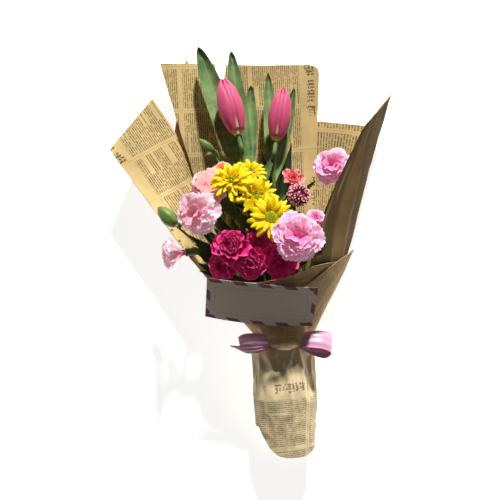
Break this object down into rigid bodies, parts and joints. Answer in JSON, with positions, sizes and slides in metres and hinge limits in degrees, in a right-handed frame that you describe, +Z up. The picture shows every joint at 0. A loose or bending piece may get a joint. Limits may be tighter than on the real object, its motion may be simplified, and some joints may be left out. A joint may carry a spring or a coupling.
{
  "type": "mixed flower bouquet",
  "caption": "Mixed cut flowers in printed kraft paper, tied at the neck with a satin bow, with a small greeting card, laid on its back.",
  "frame": {"origin": "on the flat back of the outer paper, where it lies on the surface, behind the blooms", "axes": "+Z up off the surface, +Y from the cut stems to the blooms, +X to the right seen from above"},
  "size_m": [0.3124, 0.4563, 0.1271],
  "materials": {
    "kraft_newsprint": "matte",
    "card": "matte",
    "satin_ribbon": "satin",
    "rubber_band": "matte",
    "carnation_pink": "matte",
    "carnation_salmon": "matte",
    "carnation_peach": "matte",
    "mum_yellow": "matte",
    "mum_green": "matte",
    "rose_magenta": "matte",
    "rose_coral": "matte",
    "filler_burgundy": "matte",
    "tulip_pink": "satin",
    "tulip_green": "satin",
    "carnation_green": "satin",
    "rose_green": "satin",
    "leaf_dark": "satin"
  },
  "bodies": {
    "root": {"wrap_outer": "kraft_newsprint", "wrap_panels": "kraft_newsprint", "wrap_front_left": "kraft_newsprint", "wrap_front_right": "kraft_newsprint", "wrap_sleeve": "kraft_newsprint", "ribbon_bow": "satin_ribbon", "card": "card", "stem_band": "rubber_band", "tulip_left_tepals": "tulip_pink", "tulip_left_stem": "tulip_green", "tulip_right_tepals": "tulip_pink", "tulip_right_stem": "tulip_green", "carnation_big_petals": "carnation_pink", "carnation_small_petals": "carnation_pink", "carnation_far_petals": "carnation_pink", "carnation_salmon_petals": "carnation_salmon", "carnation_peach_petals": "carnation_peach", "carnation_left_petals": "carnation_pink", "carnation_open_petals": "carnation_pink", "carnation_spray_left": "carnation_green", "carnation_spray_right": "carnation_green", "carnation_far_stem": "carnation_green", "mum_1_rays": "mum_yellow", "mum_2_rays": "mum_yellow", "mum_3_rays": "mum_yellow", "mum_4_rays": "mum_yellow", "mum_spray": "mum_green", "rose_1_petals": "rose_magenta", "rose_2_petals": "rose_magenta", "rose_3_petals": "rose_magenta", "rose_4_petals": "rose_magenta", "rose_5_petals": "rose_magenta", "rose_spray": "rose_green", "rose_coral_petals": "rose_coral", "rose_coral_stem": "rose_green", "filler_florets": "filler_burgundy", "filler_stem": "rose_green", "foliage": "leaf_dark"}
  },
  "joints": []
}
